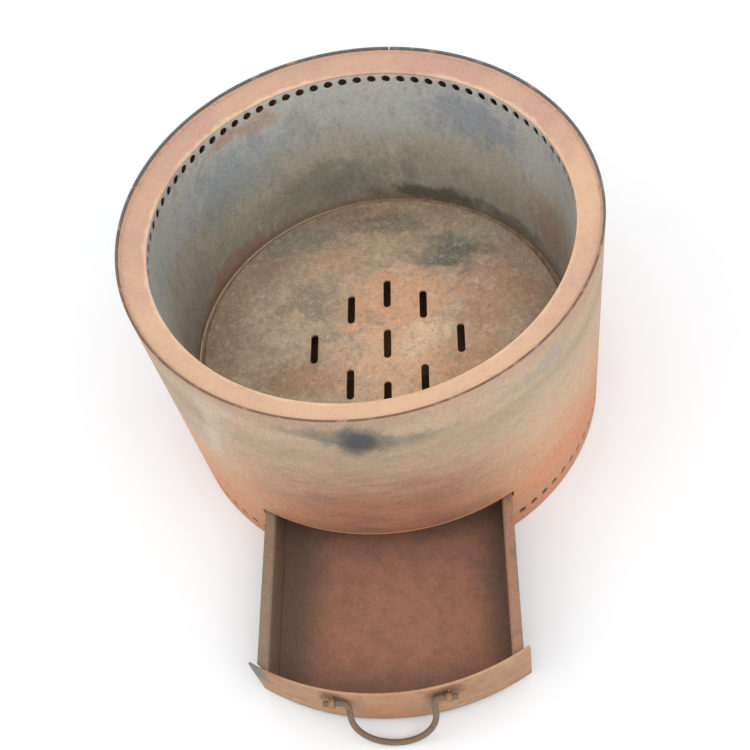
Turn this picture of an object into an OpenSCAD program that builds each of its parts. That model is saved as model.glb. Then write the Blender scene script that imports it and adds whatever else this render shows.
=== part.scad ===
// Double-walled steel fire pit with a lift-out slotted fire plate and a
// pull-out ash drawer. Millimetres, +Z up, the drawer opens towards -Y.
// The origin is the centre of the drum on the ground under the base plate.
// The drawer is drawn partly pulled out and its bail handle hangs to the
// ground: these are the zero positions of the joints.

/* [Drum] */
// Outside diameter of the outer shell
shell_d = 600; // [594:1:606]
// Height of the outer shell from the ground
shell_h = 370; // [366:1:376]
// Sheet thickness of the two walls, the rim ring and the base
sheet_t = 3; // [2.5:0.5:3]
// Inside diameter of the burn chamber
chamber_d = 532; // [528:1:536]
// Height of the lower edge of the chamber wall above the ground
chamber_bottom_z = 99; // [98:1:102]

/* [Rim ring] */
// Drop from the shell's top edge to the ring's outer edge
rim_drop = 5; // [4:0.5:6]
// Further drop of the dished ring from its outer to its inner edge
rim_dish = 10; // [8:0.5:11]

/* [Air holes] */
// Number of holes in the row under the rim ring
upper_holes = 84; // [72:1:84]
// Diameter of the holes in the chamber wall
upper_hole_d = 12; // [10:0.5:12]
// Height of the upper row below the shell's top edge
upper_row_drop = 26; // [26:1:32]
// Number of hole positions round the foot of the outer shell
lower_holes = 90; // [72:1:90]
// Diameter of the holes in the outer shell
lower_hole_d = 12; // [10:0.5:12]
// Height of the lower row above the ground
lower_row_z = 26; // [20:1:34]

/* [Fire plate] */
// Diameter of the loose plate
plate_d = 514; // [506:1:520]
// Thickness of the plate
plate_t = 4; // [3:0.5:4]
// Height of the plate's upper face above the ground
plate_top_z = 117; // [115:1:130]
// Length of a slot between its round ends' tips
slot_len = 50; // [40:1:54]
// Width of a slot
slot_w = 10.5; // [8:0.5:12]
// Sideways pitch of the slots
slot_pitch_x = 52; // [48:1:56]
// Front-to-back pitch of the slot rows
slot_pitch_y = 65; // [60:1:70]

/* [Ash drawer] */
// Width of the opening in the outer shell at the drawer's flanges
opening_w = 332; // [330:1:336]
// Width of the opening below the flanges
opening_low_w = 304.6; // [304.2:0.2:305]
// Height where the opening widens for the flanges
flange_gap_z = 82; // [80:1:83]
// Height of the opening from the ground
opening_h = 96; // [94:1:98]
// Width between the drawer's side walls
tray_w = 298; // [290:1:299]
// Height of the flanges' upper faces above the ground
flange_top_z = 89; // [87:0.5:90]
// Thickness of the drawer's sheet
tray_t = 2; // [1.5:0.5:2]
// Height of the drawer's floor above the ground
tray_floor_z = 26; // [22:1:30]
// Distance of the shut position behind the drawn one
drawer_out = 211; // [180:1:220]
// Height of the curved front's upper edge
fascia_top_z = 100; // [99:1:104]
// Height of the curved front's lower edge
fascia_bottom_z = 8; // [4:1:12]
// Inner radius that the front is rolled to
fascia_r = 320; // [310:1:330]

/* [Handle] */
// Diameter of the round bar
bar_d = 8; // [7:0.5:8]
// Distance between the centre lines of the bail's legs
bail_w = 104; // [98:1:106]
// Reach of the bail from its pivot to the middle of the bar
bail_reach = 81; // [80:0.5:86]
// Height of the pivot above the ground
pivot_z = 80; // [76:1:81]

/* [Hidden] */
$fn = 64;
// Segments of a large cylinder that only trims a small piece
fine = 720;

// Extra length of a cutter beyond what it cuts
cut = 2;
// Gap between faces that slide on or rest on each other
clear = 0.3;

shell_r = shell_d / 2;
shell_in_r = shell_r - sheet_t;
wall_r = chamber_d / 2;
wall_out_r = wall_r + sheet_t;
rim_out_z = shell_h - rim_drop;
rim_in_z = rim_out_z - rim_dish;
rim_slope = rim_dish / (shell_in_r - wall_r);
// The seams stand a little to the right of the back
seam_angle = 82;
seam_w = 5;
seam_proud = 0.8;
bead = 3;

// Angle of the first upper hole, counted from +X
upper_phase = 82.74;
// Angle of the lower hole that would stand in the middle of the opening
lower_phase = -90;

// The middle of the slot pattern on the plate
slot_mid = [4.5, -12];
ledge_w = 30;
ledge_t = 5;

flange_w = 12.5;
tray_half = tray_w / 2;
flange_half = tray_half + tray_t + flange_w;
front_t = 3;
front_half = 172;
// Inner face of the front on the centre line, shut and drawn out
front_shut_y = -(shell_r + 0.5);
front_y = front_shut_y - drawer_out;
front_mid_y = front_y + fascia_r;
tray_back_y = -46;
snip = 3.6;

runner_t = 3;
runner_web = flange_half + 3;
runner_front_y = -236;
runner_back_y = 192;
runner_top_z = flange_top_z - tray_t - clear;
runner_ledge = 14;
runner_foot = 21;

// The pivot line runs just behind the front's foremost line
pivot_y = front_y - front_t + 0.3;
knuckle_x = 71;
knuckle_len = 7;
knuckle_d = 13;
pin_clear = 0.8;
bend_r = 10;
bail_end_x = 82;
// The bail's lowest point stays just clear of the ground
bail_droop = asin((pivot_z - bar_d / 2 - 0.4) / bail_reach);

// Points of an arc in the drawing plane
function arc(mid, r, from, to, steps) =
    [for (i = [0 : steps])
        let (a = from + (to - from) * i / steps)
        mid + r * [cos(a), sin(a)]];

// A plain tube standing on z0
module ring(out_r, in_r, z0, z1, fn) {
    translate([0, 0, z0]) difference() {
        cylinder(r = out_r, h = z1 - z0, $fn = fn);
        translate([0, 0, -cut]) cylinder(r = in_r, h = z1 - z0 + 2 * cut, $fn = fn);
    }
}

// A row of radial drillings at one height
module radial_row(count, phase, d, z, r) {
    for (i = [0 : count - 1])
        rotate([0, 0, phase + i * 360 / count])
            translate([r - 10, 0, z])
                rotate([0, 90, 0]) cylinder(d = d, h = 20, $fn = 24);
}

// Rolled outer shell: proud lip, intake holes, opening stepped for the flanges
module outer_shell() {
    color([0.66, 0.52, 0.40]) difference() {
        ring(shell_r, shell_in_r, 0, shell_h, 180);
        radial_row(lower_holes, lower_phase, lower_hole_d, lower_row_z, shell_r);
        translate([-opening_low_w / 2, -shell_r - cut, -cut])
            cube([opening_low_w, shell_r * 0.4, opening_h + cut]);
        translate([-opening_w / 2, -shell_r - cut, flange_gap_z])
            cube([opening_w, shell_r * 0.4, opening_h - flange_gap_z]);
        seam_notch();
    }
}

// The butt joint is left open for a few millimetres at the lip
module seam_notch() {
    rotate([0, 0, seam_angle])
        translate([shell_in_r - cut, -0.75, shell_h - rim_drop])
            cube([sheet_t + 2 * cut, 1.5, rim_drop + cut]);
}

// Weld along the shell's vertical butt joint
module shell_seam() {
    seam_z0 = lower_row_z + 12;
    sweep = seam_w / shell_r * 180 / PI;
    color([0.50, 0.40, 0.34]) rotate([0, 0, seam_angle - sweep / 2])
        rotate_extrude(angle = sweep, $fn = fine)
            translate([shell_r, seam_z0]) square([seam_proud, shell_h - 12 - seam_z0]);
}

// Dished annulus that closes the air jacket and carries the chamber wall
module rim_ring() {
    color([0.78, 0.55, 0.43]) rotate_extrude($fn = 180)
        polygon([[wall_r, rim_in_z], [shell_in_r, rim_out_z],
            [shell_in_r, rim_out_z - sheet_t], [wall_r, rim_in_z - sheet_t]]);
}

// Fillet weld in the corner between the ring and the lip
module rim_weld() {
    color([0.62, 0.46, 0.30]) rotate_extrude($fn = 180)
        polygon([[shell_in_r, rim_out_z], [shell_in_r, rim_out_z + bead * 0.7],
            [shell_in_r - bead, rim_out_z - bead * rim_slope]]);
}

// Chamber wall with the row of hot-air holes under the ring
module inner_wall() {
    color([0.48, 0.47, 0.45]) difference() {
        rotate_extrude($fn = 180)
            polygon([[wall_r, chamber_bottom_z], [wall_out_r, chamber_bottom_z],
                [wall_out_r, rim_in_z - sheet_t + sheet_t * rim_slope],
                [wall_r, rim_in_z - sheet_t]]);
        radial_row(upper_holes, upper_phase, upper_hole_d,
            shell_h - upper_row_drop, wall_r);
    }
}

// Fillet weld under the ring, inside the air jacket
module wall_weld() {
    top = rim_in_z - sheet_t + sheet_t * rim_slope;
    color([0.40, 0.34, 0.30]) rotate_extrude($fn = 180)
        polygon([[wall_out_r, top], [wall_out_r + bead, top + bead * rim_slope],
            [wall_out_r, top - bead * 0.7]]);
}

// Round base inside the foot of the shell
module base_plate() {
    color([0.45, 0.42, 0.40]) cylinder(r = shell_in_r, h = sheet_t, $fn = 180);
}

// Short welds between the base and the shell, clear of the opening
module base_tacks() {
    color([0.38, 0.33, 0.30])
        for (a = [-30 : 40 : 210])
            rotate([0, 0, a]) rotate_extrude(angle = 5, $fn = 180)
                polygon([[shell_in_r, sheet_t], [shell_in_r, sheet_t + bead],
                    [shell_in_r - bead, sheet_t]]);
}

// One front-to-back slot
module slot(x, y) {
    straight = slot_len - slot_w;
    translate([slot_mid[0] + x, slot_mid[1] + y, plate_top_z - plate_t - cut]) {
        translate([-slot_w / 2, -straight / 2, 0])
            cube([slot_w, straight, plate_t + 2 * cut]);
        for (s = [-1, 1])
            translate([0, s * straight / 2, 0])
                cylinder(d = slot_w, h = plate_t + 2 * cut, $fn = 32);
    }
}

// Loose plate with nine slots in a diamond
module fire_plate() {
    row_end = 1.375 * slot_pitch_y;
    color([0.52, 0.43, 0.34]) difference() {
        translate([0, 0, plate_top_z - plate_t]) cylinder(d = plate_d, h = plate_t, $fn = 180);
        for (i = [-2, 0, 2]) slot(i * slot_pitch_x, 0);
        for (i = [-1, 1], j = [-1, 1]) slot(i * slot_pitch_x, j * slot_pitch_y);
        for (j = [-1, 1]) slot(0, j * row_end);
    }
}

// Ring of flat bar welded inside the chamber wall; the plate lies on it
module plate_ledge() {
    top = plate_top_z - plate_t - clear;
    color([0.42, 0.36, 0.31]) ring(wall_r, wall_r - ledge_w, top - ledge_t, top, 180);
}

// Folded channel that carries one of the drawer's flanges; side is -1 or 1
module runner(side) {
    web_out = runner_web + runner_t;
    top = runner_top_z;
    color([0.46, 0.40, 0.36]) mirror([side < 0 ? 1 : 0, 0, 0])
        translate([0, runner_back_y, 0]) rotate([90, 0, 0])
            linear_extrude(runner_back_y - runner_front_y)
                polygon([[web_out, sheet_t], [web_out, top],
                    [runner_web - runner_ledge, top],
                    [runner_web - runner_ledge, top - runner_t],
                    [runner_web, top - runner_t], [runner_web, sheet_t + runner_t],
                    [web_out - runner_foot, sheet_t + runner_t],
                    [web_out - runner_foot, sheet_t]]);
}

// Half of the tray's folded section: corner, side wall, flange and back
function tray_half_section() =
    let (bend = tray_t + 2, floor_z = tray_floor_z, top = flange_top_z)
    concat(
        arc([tray_half + tray_t - bend, floor_z - tray_t + bend], bend, -90, 0, 4),
        arc([tray_half + tray_t + 2, top - tray_t - 2], 2, 180, 90, 3),
        [[flange_half, top - tray_t], [flange_half, top]],
        arc([tray_half + tray_t + 2, top - tray_t - 2], bend, 90, 180, 4),
        arc([tray_half + tray_t - bend, floor_z - tray_t + bend], bend - tray_t, 0, -90, 3));

// The same points in the other order and on the other side
function mirrored(points) =
    [for (i = [len(points) - 1 : -1 : 0]) [-points[i][0], points[i][1]]];

// Drawer body folded from one sheet: floor, side walls, out-turned flanges
module drawer_tray() {
    half = tray_half_section();
    color([0.42, 0.29, 0.25]) difference() {
        intersection() {
            translate([0, tray_back_y, 0]) rotate([90, 0, 0])
                linear_extrude(tray_back_y - front_y) polygon(concat(half, mirrored(half)));
            translate([0, front_mid_y, 0]) cylinder(r = fascia_r, h = shell_h, $fn = 180);
        }
        flange_snip();
    }
}

// The left flange's front corner is cut away at a slant
module flange_snip() {
    corner_y = front_mid_y - sqrt(pow(fascia_r, 2) - pow(flange_half, 2));
    translate([-flange_half, corner_y, flange_top_z - tray_t - cut])
        rotate([0, 0, -44]) translate([-30, -20, 0])
            cube([60, 20 + snip, tray_t + 2 * cut]);
}

// Back plate set between the side walls
module drawer_back() {
    color([0.42, 0.30, 0.26])
        translate([-tray_half, tray_back_y - tray_t, tray_floor_z])
            cube([tray_w, tray_t, flange_top_z - tray_floor_z - 2]);
}

// Sector that keeps the part of a ring within the front's half width
module front_span(z0, z1) {
    translate([-front_half, front_y - 20, z0]) cube([2 * front_half, 100, z1 - z0]);
}

// Curved drawer front, wider and taller than the opening
module drawer_front() {
    color([0.74, 0.56, 0.42]) intersection() {
        translate([0, front_mid_y, 0])
            ring(fascia_r + front_t, fascia_r, fascia_bottom_z, fascia_top_z, 180);
        front_span(fascia_bottom_z, fascia_top_z);
    }
}

// Fillet weld between a side wall and the front, inside the drawer
module front_weld(side) {
    leg = bead + 1;
    corner = -acos(tray_half / fascia_r);
    reach = -acos((tray_half - leg) / fascia_r);
    along_front = arc([0, front_mid_y], fascia_r, corner, reach, 3);
    color([0.36, 0.26, 0.22]) mirror([side < 0 ? 1 : 0, 0, 0])
        translate([0, 0, tray_floor_z + 4])
            linear_extrude(flange_top_z - tray_floor_z - 10)
                polygon(concat(along_front, [[tray_half, along_front[0][1] + leg]]));
}

// Short tube that the bail's out-turned end goes through
module knuckle(side) {
    color([0.50, 0.36, 0.26])
        translate([side * knuckle_x - knuckle_len / 2, pivot_y, pivot_z])
            rotate([0, 90, 0]) difference() {
                cylinder(d = knuckle_d, h = knuckle_len, $fn = 48);
                translate([0, 0, -cut])
                    cylinder(d = bar_d + pin_clear, h = knuckle_len + 2 * cut, $fn = 48);
            }
}

// Weld that fills the gap between a knuckle and the curved front
module knuckle_weld(side) {
    color([0.40, 0.26, 0.18]) difference() {
        translate([side * knuckle_x - knuckle_len / 2, pivot_y, pivot_z - 5])
            cube([knuckle_len, 16, 10]);
        translate([side * knuckle_x - knuckle_len, pivot_y, pivot_z])
            rotate([0, 90, 0]) cylinder(d = knuckle_d, h = 2 * knuckle_len, $fn = 240);
        translate([0, front_mid_y, 0]) cylinder(r = fascia_r + front_t, h = shell_h, $fn = fine);
    }
}

// Straight stretch of the bar from one point to another in the bail's plane
module bar_straight(from, to) {
    run = to - from;
    translate([from[0], from[1], 0]) rotate([0, 0, atan2(run[1], run[0])])
        rotate([0, 90, 0]) cylinder(d = bar_d, h = norm(run), $fn = 32);
}

// Bent stretch of the bar in the bail's plane
module bar_bend(mid, r, start, sweep) {
    translate([mid[0], mid[1], 0]) rotate([0, 0, start])
        rotate_extrude(angle = sweep, $fn = 96) translate([r, 0]) circle(d = bar_d, $fn = 32);
}

// Bail flat in the plane: pivot line on X, loop towards -Y
module bail_flat() {
    leg = bail_w / 2;
    loop_y = -(bail_reach - leg);
    for (side = [0, 1]) mirror([side, 0, 0]) {
        bar_straight([leg + bend_r, 0], [bail_end_x, 0]);
        bar_bend([leg + bend_r, -bend_r], bend_r, 90, 90);
        bar_straight([leg, -bend_r], [leg, loop_y]);
        bar_bend([0, loop_y], leg, -90, 90);
    }
}

// Swinging bail handle, hanging until its loop is on the ground
module bail_handle() {
    color([0.47, 0.41, 0.36])
        translate([0, pivot_y, pivot_z]) rotate([bail_droop, 0, 0]) bail_flat();
}

outer_shell();
shell_seam();
rim_ring();
rim_weld();
inner_wall();
wall_weld();
base_plate();
base_tacks();
fire_plate();
plate_ledge();
runner(-1);  // runner_left
runner(1);  // runner_right
drawer_tray();
drawer_back();
drawer_front();
front_weld(-1);  // front_weld_left
front_weld(1);  // front_weld_right
knuckle(-1);  // knuckle_left
knuckle(1);  // knuckle_right
knuckle_weld(-1);  // knuckle_weld_left
knuckle_weld(1);  // knuckle_weld_right
bail_handle();
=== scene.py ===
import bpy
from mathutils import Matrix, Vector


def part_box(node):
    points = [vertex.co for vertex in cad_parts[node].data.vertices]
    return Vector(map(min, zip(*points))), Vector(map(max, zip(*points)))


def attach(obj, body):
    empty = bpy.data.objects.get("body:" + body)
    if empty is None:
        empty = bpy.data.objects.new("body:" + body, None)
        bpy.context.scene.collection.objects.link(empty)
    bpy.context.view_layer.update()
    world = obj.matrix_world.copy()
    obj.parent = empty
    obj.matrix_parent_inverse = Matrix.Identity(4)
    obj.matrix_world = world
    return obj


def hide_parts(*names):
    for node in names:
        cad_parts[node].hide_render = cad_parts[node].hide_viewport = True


bl_info = {
    "name": "Fire pit with ash drawer",
    "version": (1, 0, 0),
    "blender": (4, 5, 0),
    "location": "View3D > Sidebar > Fire Pit",
    "description": "Builds the visible steel of a double-walled fire pit round its packed frame",
    "category": "Add Mesh",
}

import math

import bmesh
import bpy
from bpy.props import FloatProperty, FloatVectorProperty, IntProperty, PointerProperty
from mathutils import Matrix, Vector, noise

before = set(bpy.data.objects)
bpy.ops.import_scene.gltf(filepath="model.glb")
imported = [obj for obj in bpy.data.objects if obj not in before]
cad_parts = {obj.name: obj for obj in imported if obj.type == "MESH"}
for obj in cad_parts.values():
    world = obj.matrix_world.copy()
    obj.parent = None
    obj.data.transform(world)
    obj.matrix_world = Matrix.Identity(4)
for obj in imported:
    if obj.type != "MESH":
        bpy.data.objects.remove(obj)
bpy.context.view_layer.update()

SHELL_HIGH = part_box("outer_shell")[1]
RING_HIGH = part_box("rim_ring")[1]
WALL_LOW, WALL_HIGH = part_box("inner_wall")
PLATE_LOW, PLATE_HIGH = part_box("fire_plate")
TRAY_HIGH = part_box("drawer_tray")[1]
BACK_LOW, BACK_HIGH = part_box("drawer_back")
FRONT_LOW, FRONT_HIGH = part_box("drawer_front")
BAIL_LOW, BAIL_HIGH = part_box("bail_handle")
SEAM_ANGLE = 82.0
# The chamber wall and the ring's hole share this radius
RING_INNER = WALL_HIGH.x - 0.003


# ---------------------------------------------------------------- settings


def tone(red, green, blue):
    """A colour given as display values from 0 to 255, as linear light."""
    channels = []
    for value in (red, green, blue):
        share = value / 255
        if share <= 0.04045:
            channels.append(share / 12.92)
        else:
            channels.append(((share + 0.055) / 1.055) ** 2.4)
    return tuple(channels)


def length(name, description, default, low=0.0):
    """A size in metres."""
    return FloatProperty(
        name=name, description=description, default=default, min=low, unit="LENGTH", precision=4
    )


def share(name, description, default):
    """A factor from 0 to 1."""
    return FloatProperty(
        name=name, description=description, default=default, min=0.0, max=1.0, subtype="FACTOR"
    )


def turn(name, description, degrees):
    """An angle, given in degrees."""
    return FloatProperty(
        name=name, description=description, default=math.radians(degrees), unit="ROTATION"
    )


def colour(name, description, default):
    """A colour picked in the panel."""
    return FloatVectorProperty(
        name=name, description=description, default=default, size=3, min=0.0, max=1.0, subtype="COLOR"
    )


def arrow(name, description, default, subtype="DIRECTION"):
    """A direction, or a place."""
    return FloatVectorProperty(
        name=name, description=description, default=default, size=3, subtype=subtype
    )


class StageSettings(bpy.types.PropertyGroup):
    """Floor, light and camera."""

    floor_half: length("Floor half width", "Half the side of the floor", 6.0)
    floor_colour: colour("Floor", "Colour of the pale floor", tone(241, 243, 245))
    sky_strength: FloatProperty(
        name="Sky strength", description="Strength of the even white surround", default=1.0, min=0.0
    )
    key_power: FloatProperty(
        name="Key power",
        description="Power of the large soft light",
        default=26.0,
        min=0.0,
        unit="POWER",
    )
    camera_place: arrow(
        "Camera place", "Where the camera stands", (0.16119, -0.93689, 1.36465), "TRANSLATION"
    )
    camera_right: arrow("Camera right", "Towards the camera's right side", (0.99505, -0.02762, -0.09543))
    camera_up: arrow("Camera up", "Towards the camera's upper side", (0.07314, 0.85371, 0.51558))
    lens: FloatProperty(
        name="Lens", description="Focal length in millimetres", default=53.02, min=10.0
    )
    shift_x: FloatProperty(name="Shift X", description="Sideways shift", default=-0.07574)
    shift_y: FloatProperty(name="Shift Y", description="Upward shift", default=0.0854)


class ShellSettings(bpy.types.PropertyGroup):
    """Outer shell, its intake holes and the drawer opening."""

    radius: length("Radius", "Outside radius of the shell", SHELL_HIGH.x)
    height: length("Height", "Height of the lip above the ground", SHELL_HIGH.z)
    sheet: length("Sheet", "Thickness of the rolled sheet", 0.003, 0.001)
    rounding: length("Edge rounding", "Rounding of the cut edges", 0.0004)
    holes: IntProperty(name="Holes", description="Hole places round the foot", default=90, min=40)
    hole_radius: length("Hole radius", "Radius of an intake hole", 0.006)
    hole_height: length("Hole height", "Height of the hole row", 0.026)
    first_hole: turn("First hole", "Angle of the hole right of the opening", -58.0)
    opening_top: length("Opening top", "Height of the drawer opening", 0.096)
    opening_half: length("Opening half width", "Half the width at the drawer's flanges", 0.166)
    narrow_half: length("Narrow half width", "Half the width below the flanges", 0.1523)
    narrow_top: length("Narrow part's top", "Height where the opening widens", 0.082)
    seam_angle: turn("Seam angle", "Where the sheet's ends meet", SEAM_ANGLE)
    notch_depth: length("Notch depth", "Depth of the unwelded joint at the lip", 0.005)
    notch_half: length("Notch half width", "Half the width of the unwelded joint", 0.00075)
    rust: colour("Rust", "Orange rust near the foot", tone(196, 142, 108))
    tan: colour("Tan", "Light rust film", tone(196, 162, 134))
    khaki: colour("Heat haze", "Grey-green heat tint", tone(170, 151, 124))
    deep: colour("Deep rust", "Red-brown rust over the drawer", tone(158, 106, 82))
    scale: colour("Mill scale", "Dark blue-grey scale", tone(86, 88, 90))
    inner_rust: colour("Inner rust", "Rust inside the air jacket", tone(190, 142, 112))


class RimSettings(bpy.types.PropertyGroup):
    """Dished ring between the two walls, and its weld."""

    inner_radius: length("Inner radius", "Radius of the ring's inner edge", RING_INNER)
    outer_radius: length("Outer radius", "Radius of the ring's outer edge", RING_HIGH.x)
    outer_top: length("Outer top", "Height of the upper face at the outer edge", RING_HIGH.z)
    inner_top: length("Inner top", "Height of the upper face at the inner edge", 0.355)
    sheet: length("Sheet", "Thickness of the ring", 0.003)
    weld: length("Weld size", "Half width of the bead along the lip", 0.0024)
    salmon: colour("Salmon", "Fresh even rust", tone(197, 160, 136))
    pink: colour("Pink", "Pink rust", tone(190, 151, 134))
    brown: colour("Brown", "Older rust", tone(178, 138, 114))
    pale: colour("Pale edge", "Rubbed inner edge", tone(222, 190, 162))
    yellow: colour("Yellow", "Yellow rust", tone(216, 178, 144))


class ChamberSettings(bpy.types.PropertyGroup):
    """Wall of the burn chamber and its hot-air holes."""

    radius: length("Inner radius", "Inside radius of the chamber", RING_INNER)
    low: length("Lower edge", "Height of the wall's lower edge", WALL_LOW.z)
    high: length("Upper edge", "Height of the wall's upper edge", 0.352)
    sheet: length("Sheet", "Thickness of the wall", 0.003)
    rounding: length("Edge rounding", "Rounding of the cut edges", 0.0004)
    holes: IntProperty(name="Holes", description="Holes under the ring", default=84, min=40)
    hole_radius: length("Hole radius", "Radius of a hot-air hole", 0.006)
    hole_height: length("Hole height", "Height of the row above the ground", 0.344)
    first_hole: turn("First hole", "Angle of one hole from +X", 82.74)
    blue: colour("Blue scale", "Blue-grey mill scale", tone(184, 188, 186))
    grey: colour("Grey", "Sooty grey of the lower wall", tone(158, 154, 140))
    rust: colour("Rust", "Orange tint", tone(196, 160, 132))
    soot: colour("Soot", "Dark green-grey marks", tone(98, 100, 92))


class PlateSettings(bpy.types.PropertyGroup):
    """Loose slotted plate."""

    radius: length("Radius", "Radius of the plate", PLATE_HIGH.x)
    rounding: length("Edge rounding", "Rounding of the plate's edges", 0.0006)
    slot_length: length("Slot length", "Length of a slot", 0.050)
    slot_width: length("Slot width", "Width of a slot", 0.0105)
    pitch_x: length("Sideways pitch", "Sideways pitch of the slots", 0.052)
    pitch_y: length("Row pitch", "Front-to-back pitch of the slots", 0.065)
    middle_x: FloatProperty(name="Middle X", description="Middle of the slots", default=0.0045)
    middle_y: FloatProperty(name="Middle Y", description="Middle of the slots", default=-0.012)
    tan: colour("Tan", "Light rust", tone(200, 174, 148))
    orange: colour("Orange", "Bright rust", tone(232, 184, 148))
    brown: colour("Brown", "Darker rust", tone(166, 146, 124))
    dark: colour("Dark", "Burnt patch", tone(104, 106, 96))
    pale: colour("Pale", "Ash-coloured swirls", tone(230, 206, 170))


class DrawerSettings(bpy.types.PropertyGroup):
    """Folded tray, its back and its rolled front."""

    half: length("Inside half width", "Half the width between the side walls", BACK_HIGH.x)
    sheet: length("Tray sheet", "Thickness of the tray", 0.002)
    floor: length("Floor height", "Height of the tray floor", BACK_LOW.z)
    flange_top: length("Flange height", "Height of the flanges", TRAY_HIGH.z)
    flange_half: length("Flange half width", "Half the width over the flanges", TRAY_HIGH.x)
    front_radius: length("Front radius", "Inner radius the front is rolled to", 0.320)
    front_sheet: length("Front sheet", "Thickness of the front", 0.003)
    front_half: length("Front half width", "Half the width of the front", FRONT_HIGH.x)
    snip: length("Snip", "Depth of the cut corner of the left flange", 0.0036)
    snip_angle: turn("Snip angle", "Slant of the cut corner", -44.0)
    red: colour("Red", "Red-brown rust of the pan", tone(154, 106, 86))
    # Dark is a painted shade colour, laid along the pan's side walls, back and front
    dark: colour("Dark", "Darker rust along the edges", tone(106, 86, 72))
    flange: colour("Flange", "Rubbed flange", tone(138, 118, 100))
    face: colour("Front", "Tan rust of the front", tone(172, 132, 101))
    stain: colour("Stain", "Stains round the handle", tone(124, 78, 54))
    steel: colour("Steel", "Bare blue-grey steel", tone(112, 114, 112))


class HandleSettings(bpy.types.PropertyGroup):
    """Bail handle and its knuckles."""

    bar: length("Bar radius", "Radius of the round bar", 0.004)
    leg: length("Leg offset", "Distance of a leg from the middle", 0.052)
    bend: length("Bend radius", "Radius of the bar's out-turned bends", 0.010)
    reach: length("Reach", "From the pivot to the middle of the loop", 0.081)
    pivot_y: FloatProperty(name="Pivot Y", description="Where the bail turns", default=-0.5142)
    pivot_z: length("Pivot height", "Height of the pivot", 0.080)
    knuckle_radius: length("Knuckle radius", "Outside radius of a knuckle", 0.0065)
    bore_radius: length("Bore radius", "Radius of a knuckle's bore", 0.0044)
    steel: colour("Bar", "Worn grey-brown bar", tone(128, 108, 92))
    rust: colour("Rust", "Rust in the bends", tone(112, 78, 58))


class WeldSettings(bpy.types.PropertyGroup):
    """Beads of weld metal."""

    pitch: length("Ripple pitch", "Distance between ripples", 0.0045)
    ripple: share("Ripple", "Depth of the ripples", 0.22)
    metal: colour("Weld metal", "Dark weld metal", tone(126, 104, 88))
    rust: colour("Weld rust", "Rust on the weld", tone(176, 122, 86))


# ---------------------------------------------------------------- meshes


def noise_at(point, scale, seed):
    """Smooth noise from about -1 to 1, the same on every run."""
    return noise.noise(Vector(point) * scale + Vector((seed, 0.37 * seed, -seed)))


def polar(radius, angle, z):
    """The point at that radius, angle in radians and height."""
    return Vector((radius * math.cos(angle), radius * math.sin(angle), z))


def arc_points(middle, radius, start, end, steps):
    """Points of an arc in a plane; the angles are in degrees."""
    points = []
    for i in range(steps + 1):
        angle = math.radians(start + (end - start) * i / steps)
        points.append((middle[0] + radius * math.cos(angle), middle[1] + radius * math.sin(angle)))
    return points


def softened(outline, radius, steps=3):
    """The closed outline with its corners rounded off."""
    result = []
    for i, corner in enumerate(outline):
        here = Vector(corner)
        before = Vector(outline[i - 1]) - here
        after = Vector(outline[(i + 1) % len(outline)]) - here
        reach = min(radius, before.length * 0.45, after.length * 0.45)
        start = here + before.normalized() * reach
        end = here + after.normalized() * reach
        for k in range(steps + 1):
            t = k / steps
            result.append(start * (1 - t) ** 2 + here * 2 * t * (1 - t) + end * t * t)
    return result


def skin_rings(rings, closed=False, bm=None):
    """A mesh of quads between neighbouring rings of points, capped unless its ends meet."""
    if bm is None:
        bm = bmesh.new()
    loops = [[bm.verts.new(p) for p in ring] for ring in rings]
    count = len(loops[0])
    last = len(loops) if closed else len(loops) - 1
    for i in range(last):
        lower = loops[i]
        upper = loops[(i + 1) % len(loops)]
        for k in range(count):
            n = (k + 1) % count
            bm.faces.new((lower[k], lower[n], upper[n], upper[k]))
    if not closed:
        bm.faces.new(list(reversed(loops[0])))
        bm.faces.new(loops[-1])
    return bm


def skin_grid(rows):
    """A mesh of quads between neighbouring rows of points."""
    bm = bmesh.new()
    lines = [[bm.verts.new(p) for p in row] for row in rows]
    for low, high in zip(lines, lines[1:]):
        for k in range(len(low) - 1):
            bm.faces.new((low[k], low[k + 1], high[k + 1], high[k]))
    return bm


def settle(obj):
    """Turns the modifiers of a piece into plain mesh."""
    graph = bpy.context.evaluated_depsgraph_get()
    mesh = bpy.data.meshes.new_from_object(obj.evaluated_get(graph), depsgraph=graph)
    old = obj.data
    obj.modifiers.clear()
    obj.data = mesh
    mesh.name = obj.name
    bpy.data.meshes.remove(old)


def placed(name, bm, finish):
    """A new object from a bmesh, in the named finish."""
    mesh = bpy.data.meshes.new(name)
    bm.to_mesh(mesh)
    bm.free()
    mesh.materials.append(finish_named(finish))
    obj = bpy.data.objects.new(name, mesh)
    bpy.context.scene.collection.objects.link(obj)
    return obj


def piece(name, bm, finish, body, slot, node, sheet=0.0, rounding=0.0, crease=35.0):
    """A piece that stands for a CAD node: given thickness, rounded, shaded and tied to its body."""
    if not sheet:
        bmesh.ops.recalc_face_normals(bm, faces=bm.faces)
    obj = placed(name, bm, finish)
    if sheet:
        solid = obj.modifiers.new("Thickness", "SOLIDIFY")
        solid.thickness = sheet
        solid.offset = -1.0
        solid.use_even_offset = True
    if rounding:
        bevel = obj.modifiers.new("Rounding", "BEVEL")
        bevel.width = rounding
        bevel.segments = 2
        bevel.limit_method = "ANGLE"
        bevel.angle_limit = math.radians(crease + 10)
    if sheet or rounding:
        settle(obj)
    obj.data.shade_smooth()
    obj.data.set_sharp_from_angle(angle=math.radians(crease))
    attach(obj, body)
    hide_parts(node)


CELL_EDGE = (
    (2, 0), (2, 1), (2, 2), (1, 2), (0, 2), (-1, 2), (-2, 2), (-2, 1),
    (-2, 0), (-2, -1), (-2, -2), (-1, -2), (0, -2), (1, -2), (2, -2), (2, -1),
)


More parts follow.
